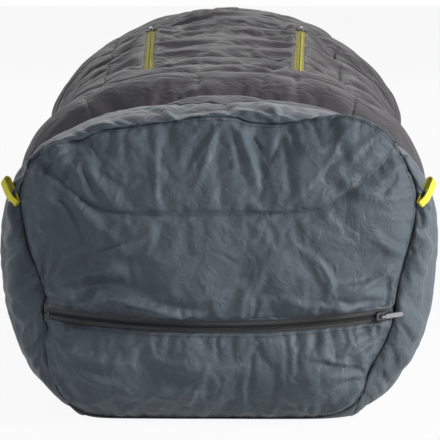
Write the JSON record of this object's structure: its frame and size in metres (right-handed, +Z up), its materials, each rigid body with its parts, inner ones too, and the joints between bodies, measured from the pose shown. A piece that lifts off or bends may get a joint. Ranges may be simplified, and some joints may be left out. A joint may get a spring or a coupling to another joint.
{
  "type": "camp quilt",
  "caption": "Lofted camp quilt with a closed padded footbox, a curved foot zip, lengthwise vent zips and webbing hang loops; open underneath and at the head end.",
  "frame": {"origin": "under the middle of the quilt, on the surface that it lies on", "axes": "+Y from the foot end to the head end, +Z up, +X to the right seen from the foot end"},
  "size_m": [0.616, 1.908, 0.3922],
  "materials": {
    "slate_shell_fabric": "coated nylon with a soft shine",
    "charcoal_shell_fabric": "coated nylon with a satin sheen",
    "insulation": "matt synthetic batt",
    "liner_fabric": "soft matt nylon",
    "hem_binding": "folded nylon",
    "dark_zip_tape": "woven tape",
    "dark_zip_coil": "moulded coil",
    "yellow_zip_tape": "woven tape",
    "yellow_zip_coil": "moulded coil",
    "slider_metal": "dark enamel",
    "puller_metal": "grey enamel",
    "yellow_webbing": "woven webbing",
    "woven_label": "plain woven patch"
  },
  "bodies": {
    "quilt": {"foot_panel_upper_shell": "slate_shell_fabric", "foot_panel_lower_shell": "slate_shell_fabric", "footbox_wrap_shell": "slate_shell_fabric", "footbox_floor_shell": "slate_shell_fabric", "top_panel_shell": "charcoal_shell_fabric", "side_panel_left_shell": "charcoal_shell_fabric", "side_panel_right_shell": "charcoal_shell_fabric", "foot_panel_upper_insulation": "insulation", "foot_panel_lower_insulation": "insulation", "footbox_wrap_insulation": "insulation", "footbox_floor_insulation": "insulation", "top_panel_insulation": "insulation", "side_panel_left_insulation": "insulation", "side_panel_right_insulation": "insulation", "foot_zip_draft_flap": "insulation", "foot_panel_upper_liner": "liner_fabric", "foot_panel_lower_liner": "liner_fabric", "footbox_wrap_liner": "liner_fabric", "footbox_floor_liner": "liner_fabric", "top_panel_liner": "liner_fabric", "side_panel_left_liner": "liner_fabric", "side_panel_right_liner": "liner_fabric", "side_hem_left": "hem_binding", "side_hem_right": "hem_binding", "neck_hem": "hem_binding", "footbox_floor_hem": "hem_binding", "foot_seam_binding": "hem_binding", "foot_zip_tape_upper": "dark_zip_tape", "foot_zip_tape_lower": "dark_zip_tape", "foot_zip_coil_upper": "dark_zip_coil", "foot_zip_coil_lower": "dark_zip_coil", "foot_zip_stops": "dark_zip_coil", "vent_left_tape_inner": "yellow_zip_tape", "vent_left_tape_outer": "yellow_zip_tape", "vent_right_tape_inner": "yellow_zip_tape", "vent_right_tape_outer": "yellow_zip_tape", "vent_left_coil_inner": "yellow_zip_coil", "vent_left_coil_outer": "yellow_zip_coil", "vent_left_stops": "yellow_zip_coil", "vent_right_coil_inner": "yellow_zip_coil", "vent_right_coil_outer": "yellow_zip_coil", "vent_right_stops": "yellow_zip_coil", "label_patch": "woven_label"},
    "foot_slider": {"foot_zip_slider": "slider_metal"},
    "foot_puller": {"foot_zip_puller": "puller_metal"},
    "vent_slider_left": {"vent_left_slider": "slider_metal"},
    "vent_puller_left": {"vent_left_puller": "puller_metal"},
    "vent_slider_right": {"vent_right_slider": "slider_metal"},
    "vent_puller_right": {"vent_right_puller": "puller_metal"},
    "loop_left": {"hang_loop_left": "yellow_webbing"},
    "loop_right": {"hang_loop_right": "yellow_webbing"}
  },
  "joints": [
    {"name": "foot_zip_travel", "type": "hinge", "parent": "quilt", "child": "foot_slider", "pos_m": [0, -0.52079, 0.19103], "axis": [0, 0.1829, -0.9831], "range_deg": [0, 44.57]},
    {"name": "foot_puller_flip", "type": "hinge", "parent": "foot_slider", "child": "foot_puller", "pos_m": [0.16833, -0.92412, 0.116], "axis": [0, 0.1829, -0.9831], "range_deg": [0, 150]},
    {"name": "vent_left_travel", "type": "slide", "parent": "quilt", "child": "vent_slider_left", "axis": [0.042, -0.9968, -0.0677], "range_m": [0, 0.5219]},
    {"name": "vent_left_puller_flip", "type": "hinge", "parent": "vent_slider_left", "child": "vent_puller_left", "pos_m": [-0.12558, 0.22486, 0.36272], "axis": [0.9827, 0.029, 0.1832], "range_deg": [0, 150]},
    {"name": "vent_right_travel", "type": "slide", "parent": "quilt", "child": "vent_slider_right", "axis": [-0.042, -0.9968, -0.0677], "range_m": [0, 0.5219]},
    {"name": "vent_right_puller_flip", "type": "hinge", "parent": "vent_slider_right", "child": "vent_puller_right", "pos_m": [0.12558, 0.22486, 0.36272], "axis": [0.9827, -0.029, -0.1832], "range_deg": [0, 150]},
    {"name": "hang_loop_left_swing", "type": "hinge", "parent": "quilt", "child": "loop_left", "pos_m": [-0.20394, -0.90991, 0.22999], "axis": [0.4625, -0.6107, 0.6428], "range_deg": [0, 60], "stiffness_Nm_per_rad": 0.02},
    {"name": "hang_loop_right_swing", "type": "hinge", "parent": "quilt", "child": "loop_right", "pos_m": [0.20394, -0.90991, 0.22999], "axis": [0.4625, 0.6107, -0.6428], "range_deg": [0, 60], "stiffness_Nm_per_rad": 0.02}
  ]
}
